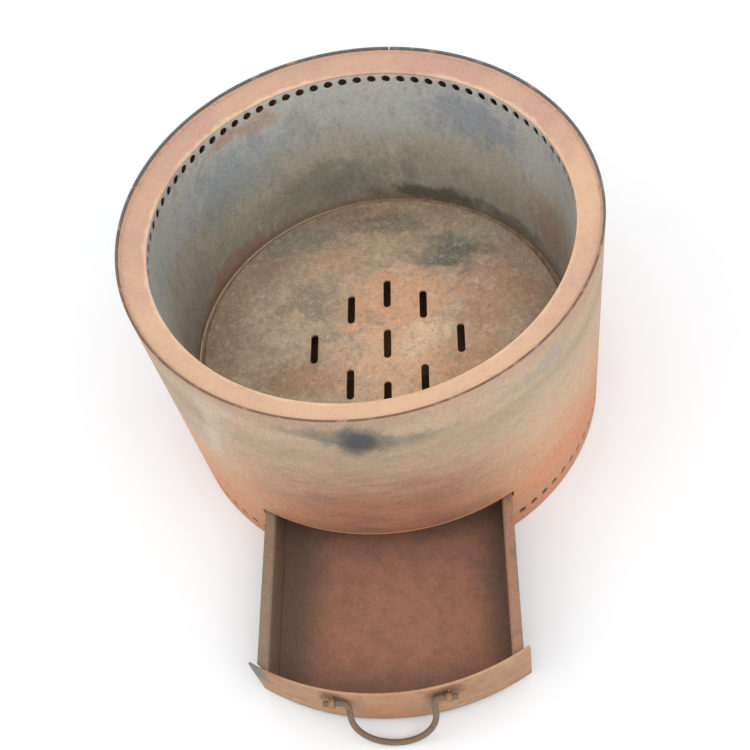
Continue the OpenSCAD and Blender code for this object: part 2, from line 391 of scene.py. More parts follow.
def perforated_wall(radius, below, above, holes, hole_radius, hole_z, reach, first, kept):
    """A rolled sheet as a grid of quads, with a collar of quads round each hole.

    below and above are the heights of the rows under and over the holes, reach is
    half the height of the row of holes, and kept(angle, z) says whether the sheet
    is there.
    """
    columns = 4 * holes
    step = math.tau / columns
    half = math.pi * radius / holes
    rows = below + [hole_z + reach * k / 2 for k in (-2, -1, 0, 1, 2)] + above
    middle = len(below) + 2
    bm = bmesh.new()
    grid = {}

    def corner(column, row):
        key = (column % columns, row)
        if key not in grid:
            grid[key] = bm.verts.new(polar(radius, first + (column - 2) * step, rows[row]))
        return grid[key]

    for row in range(len(rows) - 1):
        if middle - 2 <= row < middle + 2:
            continue
        height = (rows[row] + rows[row + 1]) / 2
        for column in range(columns):
            if kept(first + (column - 1.5) * step, height):
                lower = (corner(column, row), corner(column + 1, row))
                upper = (corner(column + 1, row + 1), corner(column, row + 1))
                bm.faces.new(lower + upper)
    for hole in range(holes):
        place = first + hole * 4 * step
        collars = []
        for size in (hole_radius * 1.22, hole_radius):
            collar = []
            for k in range(16):
                angle = k * math.tau / 16
                across = size * math.cos(angle) / radius
                point = polar(radius, place + across, hole_z + size * math.sin(angle))
                collar.append(bm.verts.new(point))
            collars.append(collar)
        rim = [(4 * hole + 2 + across, middle + up) for across, up in CELL_EDGE]
        for k in range(16):
            n = (k + 1) % 16
            angle = (k + 0.5) * math.tau / 16
            across = 0.7 * half * math.cos(angle) / radius
            if not kept(place + across, hole_z + 0.7 * reach * math.sin(angle)):
                continue
            bm.faces.new((corner(*rim[k]), corner(*rim[n]), collars[0][n], collars[0][k]))
            bm.faces.new((collars[0][k], collars[0][n], collars[1][n], collars[1][k]))
    bmesh.ops.delete(bm, geom=[v for v in bm.verts if not v.link_faces], context="VERTS")
    return bm


def bead_rings(places, half_width, height, weld, seed):
    """Rings of a rippled weld bead.

    places holds (point, direction along, direction out of the corner) along the bead.
    """
    rings = []
    run = 0.0
    sides = 10
    for i, (point, along, out) in enumerate(places):
        if i:
            run += (point - places[i - 1][0]).length
        side = along.cross(out).normalized()
        swell = 1 + 0.16 * noise_at(point, 70, seed)
        ring = []
        for k in range(sides):
            angle = k * math.tau / sides
            lag = 0.3 * math.sin(angle) ** 2
            crest = abs(math.sin(math.pi * (run / weld.pitch + lag)))
            grow = swell * (1 - weld.ripple + weld.ripple * crest)
            ring.append(
                point
                + out * (height * grow * math.cos(angle))
                + side * (half_width * grow * math.sin(angle))
            )
        rings.append(ring)
    return rings


def straight_places(start, end, out, weld):
    """Places for a straight bead from start to end."""
    start = Vector(start)
    end = Vector(end)
    along = (end - start).normalized()
    out = Vector(out).normalized()
    count = max(6, int((end - start).length / weld.pitch * 5))
    return [(start.lerp(end, i / count), along, out) for i in range(count + 1)]


def tapered(rings, tail=3):
    """The rings with both ends drawn in to a rounded tip."""
    result = []
    for i, ring in enumerate(rings):
        near = min(i, len(rings) - 1 - i)
        size = 1.0 if near >= tail else math.sin((near + 0.35) / (tail + 0.35) * math.pi / 2)
        middle = sum(ring, Vector()) / len(ring)
        result.append([middle + (p - middle) * size for p in ring])
    return result


# ---------------------------------------------------------------- shader nodes


class Wiring:
    """Adds nodes to one tree and links them; a value may be a number, a colour or a socket."""

    def __init__(self, tree, material=None):
        self.tree = tree
        self.material = material
        self.shader = None

    def add(self, kind, values=None, **settings):
        """A new node with its settings, then its inputs filled by name or number."""
        node = self.tree.nodes.new("ShaderNode" + kind)
        count = len(self.tree.nodes)
        node.location = (200 * (count % 10), -260 * (count // 10))
        for name, value in settings.items():
            setattr(node, name, value)
        for name, value in (values or {}).items():
            self.put(node.inputs[name], value)
        return node

    def put(self, socket, value):
        """Links a socket, or sets a plain value."""
        if isinstance(value, bpy.types.NodeSocket):
            self.tree.links.new(value, socket)
        elif socket.type == "RGBA":
            socket.default_value = (*tuple(value)[:3], 1.0)
        else:
            socket.default_value = value

    def math(self, operation, a, b=0.0, clamp=False):
        return self.add("Math", {0: a, 1: b}, operation=operation, use_clamp=clamp).outputs[0]

    def times(self, a, b):
        return self.math("MULTIPLY", a, b)

    def plus(self, a, b, clamp=False):
        return self.math("ADD", a, b, clamp)

    def minus(self, a, b):
        return self.math("SUBTRACT", a, b)

    def size(self, a):
        return self.math("ABSOLUTE", a)

    def vector(self, operation, a, b=None, result=0):
        values = {0: a} if b is None else {0: a, 1: b}
        return self.add("VectorMath", values, operation=operation).outputs[result]

    def joined(self, x, y, z=0.0):
        return self.add("CombineXYZ", {0: x, 1: y, 2: z}).outputs[0]

    def mix(self, factor, a, b, blend="MIX"):
        return self.add("Mix", {0: factor, 6: a, 7: b}, data_type="RGBA", blend_type=blend).outputs[2]

    def over(self, base, mask, amount, shade):
        """base with shade laid over it by mask, as strongly as amount."""
        return self.mix(self.times(mask, amount), base, shade)

    def noise(self, vector, scale, detail=4.0, rough=0.55, warp=0.0):
        values = {"Vector": vector, "Scale": scale, "Detail": detail, "Roughness": rough}
        return self.add("TexNoise", {**values, "Distortion": warp}).outputs["Fac"]

    def step(self, value, low, high):
        """0 below low, 1 above high, smooth between; falls from 1 to 0 if high is the lower one."""
        values = {"Value": value, "From Min": min(low, high), "From Max": max(low, high)}
        if low > high:
            values.update({"To Min": 1.0, "To Max": 0.0})
        return self.add("MapRange", values, interpolation_type="SMOOTHSTEP").outputs["Result"]

    def parts(self, vector):
        return list(self.add("SeparateXYZ", {0: vector}).outputs)

    def ramp(self, value, stops):
        """Colours along value from 0 to 1, as (place, colour) in rising order."""
        node = self.add("ValToRGB", {0: value})
        band = node.color_ramp
        band.interpolation = "EASE"
        while len(band.elements) < len(stops):
            band.elements.new(0.5)
        for element, stop in zip(band.elements, stops):
            element.position = stop[0]
        for element, stop in zip(band.elements, stops):
            element.color = (*tuple(stop[1])[:3], 1.0)
        return node.outputs["Color"]

    def group(self, name, **values):
        return self.add("Group", values, node_tree=bpy.data.node_groups[name]).outputs


def new_group(name, inputs, outputs):
    """An empty node group with named sockets; returns its wiring, inputs and output node."""
    tree = bpy.data.node_groups.new(name, "ShaderNodeTree")
    for label, kind, default in inputs:
        socket = tree.interface.new_socket(label, in_out="INPUT", socket_type="NodeSocket" + kind)
        if default is not None:
            socket.default_value = default
    for label, kind in outputs:
        tree.interface.new_socket(label, in_out="OUTPUT", socket_type="NodeSocket" + kind)
    wiring = Wiring(tree)
    start = tree.nodes.new("NodeGroupInput")
    end = tree.nodes.new("NodeGroupOutput")
    return wiring, start.outputs, end.inputs


def build_groups():
    """The effects that several materials use."""
    w, given, made = new_group(
        "Rust mottle",
        [("Vector", "Vector", None), ("Size", "Float", 1.0), ("Seed", "Float", 0.0)],
        [("Broad", "Float"), ("Mottle", "Float"), ("Grain", "Float"), ("Height", "Float")],
    )
    place = w.vector("ADD", given["Vector"], given["Seed"])
    broad = w.noise(place, w.times(given["Size"], 7.0), 5.0, 0.6, 0.4)
    mottle = w.noise(place, w.times(given["Size"], 38.0), 6.0, 0.68, 0.2)
    grain = w.noise(place, w.times(given["Size"], 420.0), 3.0, 0.6)
    pits = w.noise(place, w.times(given["Size"], 150.0), 4.0, 0.7)
    w.put(made["Broad"], broad)
    w.put(made["Mottle"], mottle)
    w.put(made["Grain"], w.plus(w.times(grain, 0.55), w.times(pits, 0.45)))
    rough = w.plus(w.times(grain, 0.4), w.times(pits, 0.6))
    w.put(made["Height"], w.plus(rough, w.times(mottle, 0.8)))

    w, given, made = new_group(
        "Round the drum",
        [("Vector", "Vector", None), ("Stretch", "Float", 4.0)],
        [("Along", "Vector"), ("Radius", "Float"), ("Angle", "Float")],
    )
    x, y, z = w.parts(given["Vector"])
    w.put(made["Along"], w.joined(x, y, w.times(z, given["Stretch"])))
    w.put(made["Radius"], w.vector("LENGTH", w.joined(x, y), result="Value"))
    w.put(made["Angle"], w.math("ARCTAN2", x, w.times(y, -1.0)))

    w, given, made = new_group(
        "Soft patch",
        [
            ("Vector", "Vector", None),
            ("Centre", "Vector", (0.0, 0.0, 0.0)),
            ("Spread", "Vector", (0.05, 0.05, 0.05)),
            ("Ragged", "Float", 0.5),
        ],
        [("Mask", "Float")],
    )
    away = w.vector("SUBTRACT", given["Vector"], given["Centre"])
    distance = w.vector("LENGTH", w.vector("DIVIDE", away, given["Spread"]), result="Value")
    torn = w.minus(w.noise(given["Vector"], 34.0, 6.0, 0.66, 0.6), 0.5)
    edge = w.plus(distance, w.times(torn, w.times(given["Ragged"], 3.0)))
    w.put(made["Mask"], w.step(edge, 1.15, 0.35))

    w, given, made = new_group(
        "Fine speckle",
        [
            ("Color", "Color", (0.5, 0.5, 0.5, 1.0)),
            ("Grain", "Float", 0.5),
            ("Depth", "Float", 0.35),
        ],
        [("Color", "Color"), ("Roughness", "Float")],
    )
    swing = w.times(w.minus(given["Grain"], 0.5), given["Depth"])
    gain = w.plus(w.times(swing, 2.0), 1.0)
    lit = w.add("VectorMath", {0: given["Color"], "Scale": gain}, operation="SCALE")
    w.put(made["Color"], lit.outputs[0])
    w.put(made["Roughness"], w.minus(0.82, w.times(swing, 0.8)))


def start_material(name):
    """An empty material with a Principled shader: its wiring and object coordinates."""
    material = bpy.data.materials.new(name)
    material.use_nodes = True
    material.node_tree.nodes.clear()
    w = Wiring(material.node_tree, material)
    w.shader = w.add("BsdfPrincipled")
    w.add("OutputMaterial", {"Surface": w.shader.outputs[0]})
    return w, w.add("TexCoord").outputs["Object"]


def close_material(w, base, mottle, depth, bump, lift=0.0006, gloss=0.4):
    """Speckles the colour, feeds colour, roughness and bump to the shader, and gives the material."""
    film = w.group("Fine speckle", Color=base, Grain=mottle["Grain"], Depth=depth)
    relief = w.add("Bump", {"Strength": bump, "Distance": lift, "Height": mottle["Height"]})
    into = w.shader.inputs
    w.put(into["Base Color"], film["Color"])
    w.put(into["Roughness"], film["Roughness"])
    w.put(into["Specular IOR Level"], gloss)
    w.put(into["Normal"], relief.outputs["Normal"])
    return w.material


def laid(w, place, base, patches):
    """base with soft patches of colour laid over it: (centre, spread, ragged, amount, colour)."""
    for centre, spread, ragged, amount, shade in patches:
        patch = w.group("Soft patch", Vector=place, Centre=centre, Spread=spread, Ragged=ragged)
        base = w.over(base, patch["Mask"], amount, shade)
    return base


def wall_spot(radius, degrees, z, wide, tall):
    """Centre and spread of a patch on a wall of that radius, degrees from the front."""
    angle = math.radians(degrees - 90)
    return tuple(polar(radius, angle, z)), (wide, wide, tall)


def shell_material(s):
    w, place = start_material("Weathered shell")
    drum = w.group("Round the drum", Vector=place, Stretch=3.5)
    mottle = w.group("Rust mottle", Vector=place, Size=1.0, Seed=3.0)
    x, y, z = w.parts(place)
    bands = w.noise(drum["Along"], 5.0, 5.0, 0.6, 0.5)
    wisps = w.noise(drum["Along"], 19.0, 6.0, 0.65, 0.8)
    sway = w.times(w.minus(bands, 0.5), 0.34)
    level = w.plus(w.math("DIVIDE", z, s.height), sway, clamp=True)
    base = w.ramp(
        level,
        [
            (0.0, tone(184, 132, 102)),
            (0.20, s.rust),
            (0.38, tone(198, 154, 122)),
            (0.54, s.tan),
            (0.68, tone(186, 162, 136)),
            (0.80, s.khaki),
            (0.92, tone(186, 160, 134)),
            (1.0, tone(176, 148, 124)),
        ],
    )
    rusty = w.step(mottle["Mottle"], 0.50, 0.72)
    base = w.over(base, rusty, 0.28, s.rust)
    grey = w.times(w.step(wisps, 0.48, 0.74), w.step(z, 0.15, 0.28))
    base = w.over(base, grey, 0.42, tone(152, 146, 130))
    chalk = w.times(w.step(mottle["Broad"], 0.50, 0.72), w.step(x, 0.02, -0.22))
    base = w.over(base, chalk, 0.45, tone(214, 204, 188))
    turned = w.size(w.plus(drum["Angle"], -0.03))
    ahead = w.times(w.step(turned, 0.80, 0.12), w.step(level, 0.88, 0.42))
    base = w.over(base, ahead, 0.84, s.deep)
    blotch = w.times(w.step(wisps, 0.44, 0.60), w.times(ahead, 0.38))
    base = w.mix(blotch, base, tone(126, 92, 74))
    glow = w.times(w.step(bands, 0.54, 0.38), w.times(w.step(z, 0.19, 0.10), 0.45))
    base = w.mix(glow, base, tone(206, 138, 102))
    out = s.radius
    spots = [
        (*wall_spot(out, -4.0, 0.352, 0.120, 0.026), 0.5, 0.5, tone(166, 146, 120)),
        (*wall_spot(out, -12.5, 0.343, 0.044, 0.014), 0.8, 0.6, tone(132, 126, 110)),
        (*wall_spot(out, -6.0, 0.340, 0.040, 0.018), 0.8, 0.7, tone(124, 118, 102)),
        (*wall_spot(out, 14.8, 0.314, 0.060, 0.013), 0.9, 0.45, tone(144, 136, 118)),
        (*wall_spot(out, 7.0, 0.320, 0.052, 0.015), 0.8, 0.7, tone(124, 118, 102)),
        (*wall_spot(out, -50.0, 0.236, 0.060, 0.028), 0.9, 0.5, tone(158, 154, 136)),
        (*wall_spot(out, 45.0, 0.325, 0.050, 0.020), 0.9, 0.45, tone(150, 146, 140)),
        (*wall_spot(out, 0.0, 0.326, 0.042, 0.036), 0.5, 0.75, tone(116, 110, 96)),
        (*wall_spot(out, -0.4, 0.327, 0.027, 0.031), 0.3, 0.95, tone(72, 76, 78)),
    ]
    base = laid(w, place, base, spots)
    inner = w.step(drum["Radius"], out - 0.0008, out - 0.0016)
    lip_low = s.height - 0.006
    lip_high = s.height - 0.004
    base = w.mix(w.times(inner, w.step(z, lip_high, lip_low)), base, s.inner_rust)
    brink = w.step(z, s.height - 0.0012, s.height - 0.0002)
    lip = w.math("MAXIMUM", brink, w.times(inner, w.step(z, lip_low, lip_high)))
    behind = w.step(y, -0.16, 0.04)
    edge = w.mix(behind, tone(112, 78, 62), s.scale)
    worn = w.times(lip, w.step(mottle["Mottle"], 0.74, 0.50))
    base = w.over(base, worn, 0.9, edge)
    # Painted highlight: a bright orange band just above the top of the drawer opening, across the front
    above_drawer = w.size(w.minus(z, s.opening_top + 0.002))
    opening_highlight = w.times(w.step(above_drawer, 0.0030, 0.0005), ahead)
    base = w.over(base, opening_highlight, 0.6, tone(236, 166, 122))
    return close_material(w, base, mottle, depth=0.50, bump=0.55, gloss=0.45)


def rim_material(s):
    w, place = start_material("Rusted ring")
    drum = w.group("Round the drum", Vector=place, Stretch=1.0)
    mottle = w.group("Rust mottle", Vector=place, Size=1.0, Seed=11.0)
    x, y = w.parts(place)[:2]
    clouds = w.noise(place, 9.0, 4.0, 0.55, 0.8)
    base = w.mix(w.step(clouds, 0.38, 0.62), s.salmon, s.pink)
    aside = w.minus(w.times(x, 0.5), y)
    gold = w.times(w.step(mottle["Broad"], 0.36, 0.60), w.step(aside, -0.16, 0.14))
    fore = w.times(w.step(y, 0.0, -0.16), w.minus(1.15, clouds))
    base = w.mix(w.math("MAXIMUM", w.times(gold, 0.85), fore), base, s.yellow)
    base = w.over(base, w.step(mottle["Mottle"], 0.52, 0.80), 0.3, s.brown)
    wander = w.times(w.minus(mottle["Mottle"], 0.5), 0.020)
    radius = w.plus(drum["Radius"], wander)
    rubbed = w.times(w.step(radius, 0.2715, 0.2675), w.step(mottle["Broad"], 0.62, 0.44))
    base = w.over(base, rubbed, 0.7, s.pale)
    dusk = w.times(w.step(radius, 0.2925, 0.2965), 0.25)
    base = w.mix(dusk, base, s.brown)
    flakes = w.step(mottle["Grain"], 0.46, 0.54)
    near = w.times(w.step(radius, 0.273, 0.269), w.times(flakes, 0.8))
    crust = (-0.168, 0.209, RING_HIGH.z - 0.012)
    base = laid(w, place, base, [(crust, (0.075, 0.060, 0.05), 0.5, near, tone(208, 186, 150))])
    return close_material(w, base, mottle, depth=0.26, bump=0.5, gloss=0.35)


def chamber_material(s):
    w, place = start_material("Scaled chamber wall")
    drum = w.group("Round the drum", Vector=place, Stretch=0.45)
    mottle = w.group("Rust mottle", Vector=place, Size=1.1, Seed=23.0)
    y, z = w.parts(place)[1:]
    runs = w.noise(drum["Along"], 16.0, 6.0, 0.62, 0.3)
    streaks = w.noise(drum["Along"], 70.0, 5.0, 0.7, 0.2)
    sway = w.times(w.minus(runs, 0.5), 0.55)
    level = w.math("DIVIDE", w.minus(z, PLATE_HIGH.z), s.high - PLATE_HIGH.z)
    level = w.plus(level, sway, clamp=True)
    base = w.ramp(
        level,
        [
            (0.0, tone(150, 138, 122)),
            (0.16, s.grey),
            (0.45, tone(176, 172, 158)),
            (0.75, s.blue),
            (1.0, tone(190, 190, 186)),
        ],
    )
    rusty = w.step(mottle["Mottle"], 0.53, 0.72)
    base = w.over(base, rusty, 0.30, s.rust)
    sooty = w.step(mottle["Broad"], 0.54, 0.72)
    base = w.over(base, sooty, 0.30, s.soot)
    base = w.over(base, w.step(streaks, 0.50, 0.74), 0.40, tone(118, 116, 106))
    base = w.over(base, w.step(streaks, 0.46, 0.30), 0.35, tone(202, 200, 190))
    inn = s.radius
    spots = [
        (*wall_spot(inn, 214, 0.324, 0.040, 0.018), 0.8, 0.6, tone(190, 150, 128)),
        (*wall_spot(inn, 226, 0.332, 0.040, 0.012), 0.8, 0.6, tone(186, 144, 118)),
        (*wall_spot(inn, 236, 0.128, 0.080, 0.022), 0.8, 0.6, tone(160, 116, 94)),
        (*wall_spot(inn, 111, 0.203, 0.070, 0.060), 0.8, 0.5, tone(164, 130, 112)),
        (*wall_spot(inn, 227, 0.266, 0.110, 0.060), 0.9, 0.55, tone(142, 154, 162)),
        (*wall_spot(inn, 146, 0.298, 0.100, 0.050), 0.9, 0.55, tone(128, 138, 152)),
        (*wall_spot(inn, 119, 0.290, 0.050, 0.070), 1.1, 0.6, tone(196, 196, 190)),
        (*wall_spot(inn, 162, 0.130, 0.110, 0.018), 0.8, 0.85, tone(84, 86, 76)),
        (*wall_spot(inn, 134, 0.128, 0.100, 0.016), 0.8, 0.6, tone(96, 94, 88)),
        (*wall_spot(inn, 195, 0.170, 0.120, 0.050), 1.0, 0.5, tone(116, 120, 104)),
    ]
    base = laid(w, place, base, spots)
    foot = w.times(w.step(z, PLATE_HIGH.z + 0.010, PLATE_HIGH.z + 0.001), 0.35)
    base = w.mix(foot, base, tone(132, 106, 88))
    # Painted shade: the sides and front of the wall are darkened, and the back wall is left bright
    side_shade_mask = w.step(y, 0.24, 0.02)
    side_shade_tint = w.mix(w.times(side_shade_mask, 0.46), (1.0, 1.0, 1.0), (0.45, 0.42, 0.40))
    base = w.mix(1.0, base, side_shade_tint, "MULTIPLY")
    return close_material(w, base, mottle, depth=0.62, bump=0.5, gloss=0.5)


def plate_material(s):
    w, place = start_material("Burnt plate")
    mottle = w.group("Rust mottle", Vector=place, Size=1.0, Seed=31.0)
    swirl = w.noise(place, 13.0, 7.0, 0.66, 1.6)
    drum = w.group("Round the drum", Vector=place, Stretch=1.0)
    base = w.mix(w.step(mottle["Mottle"], 0.34, 0.72), s.tan, s.brown)
    base = w.over(base, w.step(mottle["Broad"], 0.44, 0.62), 0.55, tone(158, 136, 112))
    base = w.over(base, w.step(swirl, 0.54, 0.68), 0.32, s.orange)
    edge = w.step(drum["Radius"], 0.160, 0.250)
    base = w.over(base, edge, 0.45, tone(150, 134, 114))
    z = PLATE_HIGH.z
    spots = [
        ((0.023, 0.063, z), (0.110, 0.075, 0.05), 0.7, 0.75, tone(226, 168, 132)),
        ((0.020, -0.050, z), (0.120, 0.085, 0.05), 0.7, 0.8, s.orange),
        ((0.130, -0.060, z), (0.070, 0.090, 0.05), 0.9, 0.6, tone(200, 146, 110)),
        ((0.160, 0.060, z), (0.080, 0.070, 0.05), 0.9, 0.55, tone(186, 142, 112)),
        ((-0.085, 0.150, z), (0.046, 0.030, 0.05), 1.1, 0.5, tone(204, 164, 126)),
        ((0.099, 0.149, z), (0.062, 0.046, 0.05), 0.7, 0.95, s.dark),
        ((0.150, 0.180, z), (0.050, 0.026, 0.05), 1.0, 0.6, tone(168, 164, 140)),
        ((0.010, 0.205, z), (0.070, 0.030, 0.05), 1.0, 0.75, tone(122, 120, 104)),
        ((0.030, 0.160, z), (0.060, 0.026, 0.05), 1.1, 0.5, tone(170, 156, 126)),
        ((-0.051, 0.235, z), (0.070, 0.024, 0.05), 0.9, 0.5, tone(134, 108, 88)),
        ((-0.135, 0.195, z), (0.080, 0.036, 0.05), 0.8, 0.8, tone(138, 138, 118)),
        ((-0.110, 0.075, z), (0.055, 0.040, 0.05), 1.1, 0.65, tone(130, 124, 104)),
        ((-0.230, 0.017, z), (0.040, 0.110, 0.05), 0.8, 0.5, tone(146, 116, 94)),
        ((0.070, 0.004, z), (0.042, 0.022, 0.05), 1.1, 0.7, s.pale),
        ((0.040, -0.024, z), (0.036, 0.016, 0.05), 1.3, 0.6, s.pale),
        ((-0.118, -0.063, z), (0.070, 0.050, 0.05), 0.9, 0.6, tone(172, 124, 94)),
        ((-0.160, -0.110, z), (0.060, 0.040, 0.05), 1.0, 0.4, tone(148, 142, 124)),
    ]
    base = laid(w, place, base, spots)
    flecks = w.noise(place, 105.0, 7.0, 0.76, 0.4)
    base = w.over(base, w.step(flecks, 0.50, 0.66), 0.42, tone(122, 110, 92))
    base = w.over(base, w.step(flecks, 0.47, 0.32), 0.38, tone(236, 208, 178))
    ash = w.noise(place, 26.0, 7.0, 0.72, 2.2)
    veins = w.step(w.size(w.minus(ash, 0.5)), 0.020, 0.004)
    base = w.over(base, veins, 0.28, tone(226, 206, 180))
    return close_material(w, base, mottle, depth=0.60, bump=0.65, lift=0.0007, gloss=0.4)


def drawer_material(s):
    w, place = start_material("Red pan")
    mottle = w.group("Rust mottle", Vector=place, Size=1.2, Seed=41.0)
    x, y, z = w.parts(place)
    side = w.size(w.minus(x, 0.012))
    base = w.mix(w.step(mottle["Mottle"], 0.36, 0.74), s.red, tone(136, 96, 80))
    wander = w.times(w.minus(mottle["Broad"], 0.5), 0.06)
    # Painted shade: the pan darkens towards its side walls, its back and its front, like a vignette
    rim = w.step(w.plus(side, wander), 0.085, 0.140)
    back = w.step(w.plus(y, wander), -0.285, -0.250)
    fore = w.step(w.plus(y, wander), -0.440, -0.490)
    ends = w.math("MAXIMUM", w.times(back, 0.8), w.times(fore, 0.6))
    pan_shade_mask = w.math("MAXIMUM", rim, ends)
    base = w.over(base, pan_shade_mask, 0.85, s.dark)
    wall = w.step(z, s.floor + 0.003, s.floor + 0.012)
    base = w.over(base, wall, 0.8, tone(134, 110, 94))
    raised = w.step(z, s.flange_top - 0.004, s.flange_top - 0.001)
    rubbed = w.times(raised, w.step(mottle["Mottle"], 0.74, 0.46))
    flange = w.mix(w.step(x, -0.10, 0.10), s.flange, tone(162, 120, 98))
    base = w.over(base, rubbed, 0.9, flange)
    return close_material(w, base, mottle, depth=0.55, bump=0.55, gloss=0.35)


def front_material(s):
    w, place = start_material("Tan front")
    drum = w.group("Round the drum", Vector=place, Stretch=2.4)
    mottle = w.group("Rust mottle", Vector=place, Size=1.2, Seed=53.0)
    smears = w.noise(drum["Along"], 22.0, 6.0, 0.62, 0.5)
    base = w.mix(w.step(mottle["Mottle"], 0.44, 0.74), s.face, tone(150, 110, 82))
    base = w.over(base, w.step(smears, 0.50, 0.68), 0.45, tone(190, 156, 126))
    y = FRONT_LOW.y
    spots = [
        ((-0.071, y, 0.078), (0.020, 0.05, 0.024), 0.7, 0.75, s.stain),
        ((0.071, y, 0.078), (0.026, 0.05, 0.026), 0.7, 0.8, s.stain),
        ((-0.168, y + 0.040, 0.085), (0.022, 0.03, 0.045), 0.5, 0.9, s.steel),
        ((0.120, y + 0.02, 0.050), (0.060, 0.05, 0.020), 0.9, 0.4, tone(160, 126, 100)),
    ]
    base = laid(w, place, base, spots)
    x = w.parts(place)[0]
    z = w.parts(place)[2]
    brink = w.step(z, FRONT_HIGH.z - 0.0016, FRONT_HIGH.z - 0.0002)
    base = w.over(base, w.times(brink, w.step(x, -0.14, -0.10)), 0.45, tone(196, 158, 128))
    base = w.over(base, w.step(w.size(x), 0.06, 0.01), 0.35, tone(176, 118, 84))
    return close_material(w, base, mottle, depth=0.30, bump=0.5, gloss=0.4)


def plain_material(name, main, rust, seed, size, cover=0.5, gloss=0.4, metal=0.0):
    """Two mottled colours, for the bar, the welds and the hidden steel."""
    w, place = start_material(name)
    mottle = w.group("Rust mottle", Vector=place, Size=size, Seed=seed)
    base = w.mix(w.step(mottle["Mottle"], 0.70 - 0.3 * cover, 0.84 - 0.3 * cover), main, rust)
    w.put(w.shader.inputs["Metallic"], metal)
    return close_material(w, base, mottle, depth=0.34, bump=0.5, lift=0.0005, gloss=gloss)


def ledge_material(s):
    w, place = start_material("Rusted ledge")
    drum = w.group("Round the drum", Vector=place, Stretch=1.0)
    mottle = w.group("Rust mottle", Vector=place, Size=1.6, Seed=89.0)
    base = w.mix(w.step(mottle["Mottle"], 0.40, 0.66), tone(158, 132, 110), tone(130, 104, 86))
    wander = w.times(w.minus(mottle["Mottle"], 0.5), 0.008)
    radius = w.plus(drum["Radius"], wander)
    corner = w.step(radius, s.radius - 0.0028, s.radius - 0.0010)
    # Paler along the corner at the wall, on the left side only
    pale_left_corner = w.times(corner, w.step(w.parts(place)[0], 0.02, -0.14))
    base = w.over(base, pale_left_corner, 0.8, tone(214, 184, 158))
    return close_material(w, base, mottle, depth=0.34, bump=0.5, gloss=0.4)


def floor_material(s):
    w, place = start_material("Pale floor")
    cloud = w.noise(place, 2.6, 6.0, 0.6, 0.5)
    dust = w.noise(place, 60.0, 4.0, 0.6)
    base = w.over(s.floor_colour, w.step(cloud, 0.52, 0.74), 0.5, tone(236, 239, 242))
    base = w.over(base, w.step(dust, 0.60, 0.80), 0.25, tone(232, 234, 236))
    w.put(w.shader.inputs["Base Color"], base)
    w.put(w.shader.inputs["Roughness"], 0.9)
    w.put(w.shader.inputs["Specular IOR Level"], 0.2)
    return w.material


MATERIALS = {}


def finish_named(name):
    """The material of that name, built when it is first asked for."""
    if name in MATERIALS:
        return MATERIALS[name]
    if not MATERIALS:
        build_groups()
    scene = bpy.context.scene
    weld = scene.pit_weld
    bail = scene.pit_handle
    full = {
        "shell": (shell_material, scene.pit_shell),
        "ring": (rim_material, scene.pit_rim),
        "chamber": (chamber_material, scene.pit_chamber),
        "plate": (plate_material, scene.pit_plate),
        "drawer": (drawer_material, scene.pit_drawer),
        "front": (front_material, scene.pit_drawer),
        "ledge": (ledge_material, scene.pit_chamber),
        "floor": (floor_material, scene.pit_stage),
    }
    plain = {
        "bar": ("Worn bar", bail.steel, bail.rust, 61.0, 1.6, 0.5, 0.5, 0.3),
        "knuckle": ("Rusted knuckle", tone(150, 112, 84), bail.rust, 67.0, 1.6, 0.6, 0.4),
        "weld": ("Weld metal", weld.metal, weld.rust, 71.0, 2.0, 0.7, 0.4),
        "rimweld": ("Ring weld", tone(194, 158, 134), tone(166, 128, 106), 75.0, 2.0, 0.5, 0.35),
        # The inner steel is pale partly from ash dust and partly as painted light, lightened so the base
        # under the slots is not too dark
        "hidden": ("Inner steel", tone(190, 152, 126), tone(178, 128, 98), 83.0, 1.0),
    }
    if name in full:
        maker, settings = full[name]
        MATERIALS[name] = maker(settings)
    else:
        MATERIALS[name] = plain_material(*plain[name])
    return MATERIALS[name]


# ---------------------------------------------------------------- operators


class PIT_OT_stage(bpy.types.Operator):
    """Lay the pale floor, light it softly and set up the camera"""

    bl_idname = "pit.stage"
    bl_label = "Stage"

    def execute(self, context):
        s = context.scene.pit_stage
        steps = 8
        places = [s.floor_half * (2 * i / steps - 1) for i in range(steps + 1)]
        floor_z = -0.0003
        bm = skin_grid([[(x, y, floor_z) for x in places] for y in places])
        placed("floor", bm, "floor")

        world = bpy.data.worlds.new("Even white surround")
        world.use_nodes = True
        sky = world.node_tree.nodes["Background"]
        sky.inputs["Color"].default_value = (1.0, 1.0, 1.0, 1.0)
        sky.inputs["Strength"].default_value = s.sky_strength
        context.scene.world = world
        context.scene.view_settings.view_transform = "Standard"
        soft = (
            ("key", (0.9, -1.6, 2.6), 2.4, s.key_power),
            ("fill", (-2.0, -0.6, 2.2), 2.0, s.key_power * 0.35),
        )
        for name, place, size, power in soft:
            lamp = bpy.data.lights.new(name, "AREA")
            lamp.size = size
            lamp.energy = power
            obj = bpy.data.objects.new(name, lamp)
            obj.location = place
            aim = Vector((0.0, -0.1, 0.15)) - Vector(place)
            obj.rotation_euler = aim.to_track_quat("-Z", "Y").to_euler()
            context.scene.collection.objects.link(obj)

        lens = bpy.data.cameras.new("camera")
        lens.lens = s.lens
        lens.sensor_width = 36.0
        lens.shift_x = s.shift_x
        lens.shift_y = s.shift_y
        camera = bpy.data.objects.new("camera", lens)
        right = Vector(s.camera_right).normalized()
        up = Vector(s.camera_up)
        back = right.cross(up).normalized()
        up = back.cross(right)
        turned = Matrix((right, up, back)).transposed().to_4x4()
        camera.matrix_world = Matrix.Translation(Vector(s.camera_place)) @ turned
        context.scene.collection.objects.link(camera)
        context.scene.camera = camera
        return {"FINISHED"}


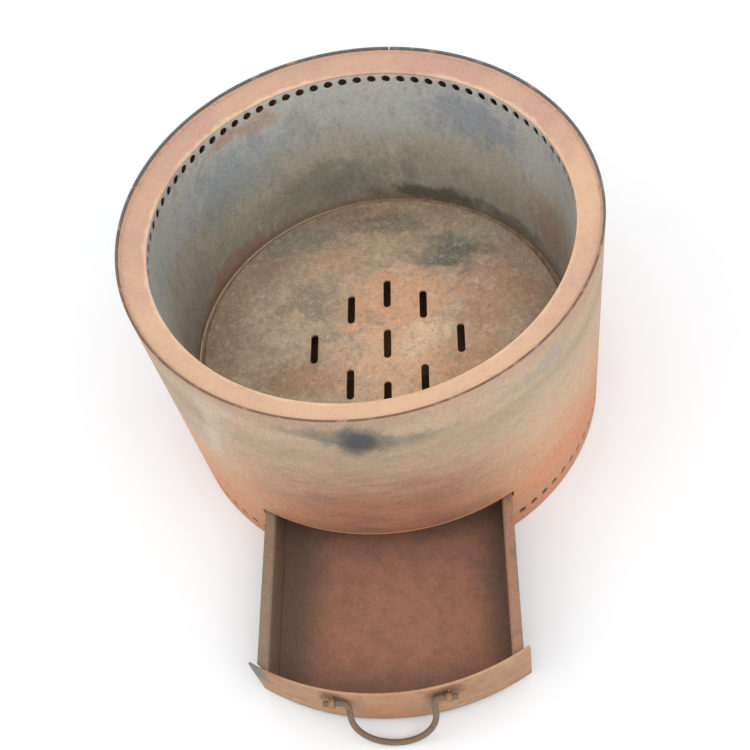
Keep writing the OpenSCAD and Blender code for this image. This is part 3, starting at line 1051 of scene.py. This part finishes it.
class PIT_OT_shell(bpy.types.Operator):
    """Roll the outer shell with its intake holes, drawer opening and lip notch"""

    bl_idname = "pit.shell"
    bl_label = "Outer shell"

    def execute(self, context):
        s = context.scene.pit_shell
        step = math.tau / (4 * s.holes)
        middle = s.first_hole + 2 * step - 17 * 2 * step
        wide = 17 * 2 * step
        narrow = 15 * 2 * step
        low_cell = s.hole_height - math.pi * s.radius / s.holes
        top_cell = s.hole_height + math.pi * s.radius / s.holes

        def kept(angle, z):
            angle = (angle + math.pi) % math.tau - math.pi
            if z > s.opening_top:
                return True
            return abs(angle - middle) > (wide if z > s.narrow_top else narrow)

        below = [low_cell * k / 3 for k in (0, 1, 2)]
        spread = (s.narrow_top - top_cell) / 3
        above = [top_cell + spread, top_cell + 2 * spread, s.narrow_top, s.opening_top]
        rise = s.height - s.notch_depth - s.opening_top
        above += [s.opening_top + rise * k / 11 for k in range(1, 12)]
        above.append(s.height)
        reach = top_cell - s.hole_height
        bm = perforated_wall(
            s.radius, below, above, s.holes, s.hole_radius, s.hole_height, reach, s.first_hole, kept
        )
        edges = (
            (narrow, math.asin(s.narrow_half / s.radius), -1.0, s.narrow_top),
            (wide, math.asin(s.opening_half / s.radius), s.narrow_top, s.opening_top),
        )
        for vert in bm.verts:
            away = math.atan2(vert.co.y, vert.co.x) - middle
            for drawn, exact, low, high in edges:
                if low - 1e-5 < vert.co.z < high + 1e-5 and abs(abs(away) - drawn) < 0.1 * step:
                    vert.co = polar(s.radius, middle + math.copysign(exact, away), vert.co.z)
        seam = polar(1.0, s.seam_angle, 0.0)
        across = Vector((-seam.y, seam.x, 0.0))
        for side in (-1, 1):
            near = [f for f in bm.faces if f.calc_center_median().xy.dot(seam.xy) > s.radius * 0.999]
            geom = set(near)
            for f in near:
                geom.update(f.edges)
                geom.update(f.verts)
            bmesh.ops.bisect_plane(
                bm, geom=list(geom), dist=1e-7, plane_co=across * side * s.notch_half, plane_no=across
            )

        def in_notch(face):
            at = face.calc_center_median()
            near_seam = at.dot(seam) > 0 and abs(at.dot(across)) < s.notch_half
            return near_seam and at.z > s.height - s.notch_depth

        bmesh.ops.delete(bm, geom=[f for f in bm.faces if in_notch(f)], context="FACES")
        shell = ("shell", "drum", "shell_steel", "outer_shell")
        piece("outer_shell_sheet", bm, *shell, s.sheet, s.rounding)
        weld = context.scene.pit_weld
        low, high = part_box("shell_seam")
        sunk = s.radius - 0.0006
        margin = 0.002
        start = polar(sunk, s.seam_angle, low.z + margin)
        end = polar(sunk, s.seam_angle, high.z - margin)
        places = straight_places(start, end, seam, weld)
        rings = bead_rings(places, half_width=0.0027, height=0.0014, weld=weld, seed=5.0)
        bm = skin_rings(tapered(rings))
        piece("shell_seam_bead", bm, "weld", "drum", "weld_steel", "shell_seam")
        return {"FINISHED"}


class PIT_OT_rim(bpy.types.Operator):
    """Dish the ring between the walls and weld it to the lip"""

    bl_idname = "pit.rim"
    bl_label = "Rim ring"

    def execute(self, context):
        s = context.scene.pit_rim
        weld = context.scene.pit_weld
        outline = [
            (s.inner_radius, s.inner_top - s.sheet),
            (s.outer_radius, s.outer_top - s.sheet),
            (s.outer_radius, s.outer_top),
            (s.inner_radius, s.inner_top),
        ]
        profile = softened(outline, 0.0007, 3)
        steps = 360
        rings = []
        for i in range(steps):
            angle = math.tau * i / steps
            rings.append([polar(p[0], angle, p[1]) for p in profile])
        bm = skin_rings(rings, closed=True)
        piece("rim_ring_dished", bm, "ring", "drum", "ring_steel", "rim_ring")

        radius = s.outer_radius - 0.0009
        count = int(math.tau * radius / weld.pitch * 5)
        places = []
        for i in range(count):
            angle = math.tau * i / count
            wander = 0.0004 * noise_at(polar(radius, angle, 0.0), 24, 9.0)
            point = polar(radius - abs(wander), angle, s.outer_top + 0.0003 + wander)
            along = Vector((-math.sin(angle), math.cos(angle), 0.0))
            out = (Vector((0, 0, 1.0)) - polar(0.8, angle, 0.0)).normalized()
            places.append((point, along, out))
        rings = bead_rings(places, half_width=s.weld, height=s.weld * 0.36, weld=weld, seed=2.0)
        bm = skin_rings(rings, closed=True)
        piece("rim_weld_bead", bm, "rimweld", "drum", "weld_steel", "rim_weld")
        return {"FINISHED"}


class PIT_OT_chamber(bpy.types.Operator):
    """Roll the wall of the burn chamber with its row of hot-air holes"""

    bl_idname = "pit.chamber"
    bl_label = "Burn chamber"

    def execute(self, context):
        s = context.scene.pit_chamber
        reach = s.high - s.hole_height
        bottom = s.hole_height - reach
        below = [s.low + (bottom - s.low) * k / 9 for k in range(9)]

        def kept(angle, z):
            return True

        bm = perforated_wall(
            s.radius, below, [], s.holes, s.hole_radius, s.hole_height, reach, s.first_hole, kept
        )
        bmesh.ops.reverse_faces(bm, faces=bm.faces)
        wall = ("chamber", "drum", "chamber_steel", "inner_wall")
        piece("chamber_wall_sheet", bm, *wall, s.sheet, s.rounding)
        return {"FINISHED"}


class PIT_OT_plate(bpy.types.Operator):
    """Cut the loose fire plate with its nine slots"""

    bl_idname = "pit.plate"
    bl_label = "Fire plate"

    def execute(self, context):
        s = context.scene.pit_plate
        thick = PLATE_HIGH.z - PLATE_LOW.z
        curve = bpy.data.curves.new("fire_plate_cut", "CURVE")
        curve.dimensions = "2D"
        curve.fill_mode = "BOTH"
        curve.extrude = thick / 2 - s.rounding
        curve.bevel_depth = s.rounding
        curve.bevel_resolution = 1
        curve.offset = -s.rounding
        outlines = [arc_points((0.0, 0.0), s.radius, 0, 360 - 2, 179)]
        row_end = 1.375 * s.pitch_y
        centres = [(k * s.pitch_x, 0.0) for k in (-2, 0, 2)]
        centres += [(i * s.pitch_x, j * s.pitch_y) for i in (-1, 1) for j in (-1, 1)]
        centres += [(0.0, j * row_end) for j in (-1, 1)]
        reach = (s.slot_length - s.slot_width) / 2
        for x, y in centres:
            x += s.middle_x
            y += s.middle_y
            upper = arc_points((x, y + reach), s.slot_width / 2, 0, 180, 12)
            lower = arc_points((x, y - reach), s.slot_width / 2, 180, 360, 12)
            outlines.append(list(reversed(upper + lower)))
        for outline in outlines:
            spline = curve.splines.new("POLY")
            spline.points.add(len(outline) - 1)
            for point, (x, y) in zip(spline.points, outline):
                point.co = (x, y, 0.0, 1.0)
            spline.use_cyclic_u = True
        shape = bpy.data.objects.new("fire_plate_cut", curve)
        context.scene.collection.objects.link(shape)
        graph = context.evaluated_depsgraph_get()
        mesh = bpy.data.meshes.new_from_object(shape.evaluated_get(graph), depsgraph=graph)
        bpy.data.objects.remove(shape)
        bm = bmesh.new()
        bm.from_mesh(mesh)
        bpy.data.meshes.remove(mesh)
        bmesh.ops.remove_doubles(bm, verts=bm.verts, dist=1e-6)
        for vert in bm.verts:
            vert.co.z += (PLATE_LOW.z + PLATE_HIGH.z) / 2
        piece("fire_plate_slotted", bm, "plate", "plate", "plate_steel", "fire_plate")
        return {"FINISHED"}


class PIT_OT_drawer(bpy.types.Operator):
    """Fold the ash drawer, set in its back and weld on its rolled front"""

    bl_idname = "pit.drawer"
    bl_label = "Ash drawer"

    def execute(self, context):
        s = context.scene.pit_drawer
        weld = context.scene.pit_weld
        middle_y = FRONT_LOW.y + s.front_radius + s.front_sheet
        back_y = TRAY_HIGH.y

        def front_at(x):
            return middle_y - math.sqrt(s.front_radius**2 - x * x)

        inner_bend = 0.002
        bend = s.sheet + inner_bend
        flat_end = 0.005
        half = [(s.half * k / 8, s.floor) for k in range(8)]
        half += arc_points((s.half - inner_bend, s.floor + inner_bend), inner_bend, -90, 0, 4)
        wall_top = s.flange_top - bend
        half += [(s.half, s.floor + (wall_top - s.floor) * k / 5) for k in range(1, 5)]
        half += arc_points((s.half + bend, wall_top), bend, 180, 90, 5)
        half += [(s.half + bend + flat_end, s.flange_top), (s.flange_half, s.flange_top)]
        section = [(-x, z) for x, z in reversed(half[1:])] + half
        corner_y = front_at(s.flange_half)
        slant = math.tan(s.snip_angle)
        snip_y = corner_y + s.snip / math.cos(s.snip_angle)

        def end_at(x, z):
            if x < -s.half + 0.0005 and z > wall_top - 0.0001:
                return max(front_at(x), snip_y + slant * (x + s.flange_half))
            return front_at(x)

        lengthwise = 22
        rows = []
        for j in range(lengthwise + 1):
            t = j / lengthwise
            rows.append([(x, back_y + (end_at(x, z) - back_y) * t, z) for x, z in section])
        rounding = 0.0003
        pan = ("drawer", "drawer", "drawer_steel")
        piece("drawer_tray_folded", skin_grid(rows[::-1]), *pan, "drawer_tray", s.sheet, rounding)
        across = [BACK_LOW.x + (BACK_HIGH.x - BACK_LOW.x) * i / 20 for i in range(21)]
        rows = []
        for j in range(9):
            z = BACK_LOW.z + (BACK_HIGH.z - BACK_LOW.z) * j / 8
            rows.append([(x, BACK_LOW.y, z) for x in across])
        piece("drawer_back_sheet", skin_grid(rows), *pan, "drawer_back", s.sheet, rounding)
        outer = s.front_radius + s.front_sheet
        span = math.asin(s.front_half / outer)
        rows = []
        for j in range(13):
            z = FRONT_LOW.z + (FRONT_HIGH.z - FRONT_LOW.z) * j / 12
            line = []
            for i in range(61):
                angle = -math.pi / 2 + span * (2 * i / 60 - 1)
                line.append(polar(outer, angle, z) + Vector((0, middle_y, 0)))
            rows.append(line)
        face = ("front", "drawer", "front_steel", "drawer_front")
        piece("drawer_front_rolled", skin_grid(rows), *face, s.front_sheet, 0.0005)
        for side, label in ((-1, "left"), (1, "right")):
            node = "front_weld_" + label
            low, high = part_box(node)
            inset = 0.0012
            x = side * (s.half - inset)
            y = front_at(x) + inset
            out = Vector((-side, 1.0, 0.0)).normalized()
            places = straight_places((x, y, low.z), (x, y, high.z), out, weld)
            rings = bead_rings(places, half_width=0.0030, height=0.0018, weld=weld, seed=12.0 + side)
            bm = skin_rings(tapered(rings))
            piece("corner_bead_" + label, bm, "weld", "drawer", "weld_steel", node)
        return {"FINISHED"}


class PIT_OT_handle(bpy.types.Operator):
    """Bend the bail, turn its knuckles and weld them to the drawer front"""

    bl_idname = "pit.handle"
    bl_label = "Bail handle"

    def execute(self, context):
        s = context.scene.pit_handle
        d = context.scene.pit_drawer
        weld = context.scene.pit_weld
        pivot = Vector((0.0, s.pivot_y, s.pivot_z))
        loop = s.reach - s.leg
        reach_x = BAIL_HIGH.x
        straight = 0.006
        path = [(reach_x, 0.0), (reach_x - straight, 0.0), (s.leg + s.bend + straight, 0.0)]
        path += arc_points((s.leg + s.bend, -s.bend), s.bend, 90, 180, 10)
        path += [(s.leg, -s.bend - (loop - s.bend) * k / 3) for k in (1, 2)]
        path += arc_points((0.0, -loop), s.leg, 0, -90, 24)
        path += [(-x, v) for x, v in reversed(path[:-1])]
        droop = math.asin((s.pivot_z - s.bar - BAIL_LOW.z) / s.reach)
        tilt = Matrix.Rotation(droop, 3, "X")
        centre = [pivot + tilt @ Vector((x, v, 0.0)) for x, v in path]
        flat = tilt @ Vector((0.0, 0.0, 1.0))
        sides = 20
        rings = []
        for i, point in enumerate(centre):
            ahead = centre[min(i + 1, len(centre) - 1)]
            behind = centre[max(i - 1, 0)]
            along = (ahead - behind).normalized()
            side = along.cross(flat).normalized()
            dent = 1 - 0.012 * (1 + noise_at(point, 90, 4.0))
            turns = [math.tau * k / sides for k in range(sides)]
            spokes = [side * math.cos(a) + flat * math.sin(a) for a in turns]
            rings.append([point + spoke * s.bar * dent for spoke in spokes])

        def drawn_in(ring, size, push):
            mid = sum(ring, Vector()) / len(ring)
            return [mid + (p - mid) * size + Vector((push, 0, 0)) for p in ring]

        chamfer = 0.0008
        first = [drawn_in(rings[0], 0.80, 0.0), drawn_in(rings[0], 1.0, -chamfer)]
        last = [drawn_in(rings[-1], 1.0, chamfer), drawn_in(rings[-1], 0.80, 0.0)]
        bm = skin_rings(first + rings[1:-1] + last)
        piece("bail_bar", bm, "bar", "bail", "bar_steel", "bail_handle")

        middle_y = FRONT_LOW.y + d.front_radius + d.front_sheet
        outer = d.front_radius + d.front_sheet
        margin = 0.0012
        for side, label in ((-1, "left"), (1, "right")):
            low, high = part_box("knuckle_" + label)
            outline = [
                (s.bore_radius, low.x),
                (s.knuckle_radius, low.x),
                (s.knuckle_radius, high.x),
                (s.bore_radius, high.x),
            ]
            profile = softened(outline, 0.0007, 2)
            rings = []
            for i in range(40):
                cosine = math.cos(math.tau * i / 40)
                sine = math.sin(math.tau * i / 40)
                rings.append([pivot + Vector((p[1], p[0] * cosine, p[0] * sine)) for p in profile])
            bm = skin_rings(rings, closed=True)
            piece("knuckle_tube_" + label, bm, "knuckle", "drawer", "bar_steel", "knuckle_" + label)
            bm = bmesh.new()
            for up in (-1, 1):
                ends = []
                for x in (low.x + margin, high.x - margin):
                    face = middle_y - math.sqrt(outer**2 - x * x)
                    ends.append((x, (face + s.pivot_y + 0.006) / 2, s.pivot_z + up * 0.0048))
                out = Vector((0.0, -0.55, up))
                places = straight_places(*ends, out, weld)
                seed = 20.0 + side + up
                rings = bead_rings(places, half_width=0.0034, height=0.0026, weld=weld, seed=seed)
                skin_rings(tapered(rings, tail=4), bm=bm)
            node = "knuckle_weld_" + label
            piece("knuckle_bead_" + label, bm, "weld", "drawer", "weld_steel", node)
        return {"FINISHED"}


class PIT_OT_inner_steel(bpy.types.Operator):
    """Give the base, ledge, runners and inner welds their finish"""

    bl_idname = "pit.inner_steel"
    bl_label = "Inner steel"

    def execute(self, context):
        finishes = {
            "base_plate": "hidden",
            "base_tacks": "weld",
            "wall_weld": "weld",
            "runner_left": "hidden",
            "runner_right": "hidden",
            "plate_ledge": "ledge",
        }
        for name, finish in finishes.items():
            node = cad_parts[name]
            node.data.materials.clear()
            node.data.materials.append(finish_named(finish))
        return {"FINISHED"}


STEPS = (
    PIT_OT_stage,
    PIT_OT_shell,
    PIT_OT_rim,
    PIT_OT_chamber,
    PIT_OT_plate,
    PIT_OT_drawer,
    PIT_OT_handle,
    PIT_OT_inner_steel,
)

SETTINGS = (
    ("pit_stage", "Stage", StageSettings),
    ("pit_shell", "Shell", ShellSettings),
    ("pit_rim", "Rim", RimSettings),
    ("pit_chamber", "Chamber", ChamberSettings),
    ("pit_plate", "Plate", PlateSettings),
    ("pit_drawer", "Drawer", DrawerSettings),
    ("pit_handle", "Handle", HandleSettings),
    ("pit_weld", "Welds", WeldSettings),
)


class PIT_PT_build(bpy.types.Panel):
    """Lists the build steps and their sizes and colours"""

    bl_idname = "PIT_PT_build"
    bl_label = "Fire Pit"
    bl_space_type = "VIEW_3D"
    bl_region_type = "UI"
    bl_category = "Fire Pit"

    def draw(self, context):
        layout = self.layout
        for step in STEPS:
            layout.operator(step.bl_idname)
        for name, label, group in SETTINGS:
            box = layout.box()
            box.label(text=label)
            values = getattr(context.scene, name)
            for prop in group.__annotations__:
                box.prop(values, prop)


def register():
    for name, _, group in SETTINGS:
        bpy.utils.register_class(group)
        setattr(bpy.types.Scene, name, PointerProperty(type=group))
    for step in STEPS:
        bpy.utils.register_class(step)
    bpy.utils.register_class(PIT_PT_build)


def unregister():
    bpy.utils.unregister_class(PIT_PT_build)
    for step in reversed(STEPS):
        bpy.utils.unregister_class(step)
    for name, _, group in reversed(SETTINGS):
        delattr(bpy.types.Scene, name)
        bpy.utils.unregister_class(group)


def main():
    register()
    bpy.ops.pit.stage()
    bpy.ops.pit.shell()
    bpy.ops.pit.rim()
    bpy.ops.pit.chamber()
    bpy.ops.pit.plate()
    bpy.ops.pit.drawer()
    bpy.ops.pit.handle()
    bpy.ops.pit.inner_steel()
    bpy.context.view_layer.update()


if __name__ == "__main__":
    main()
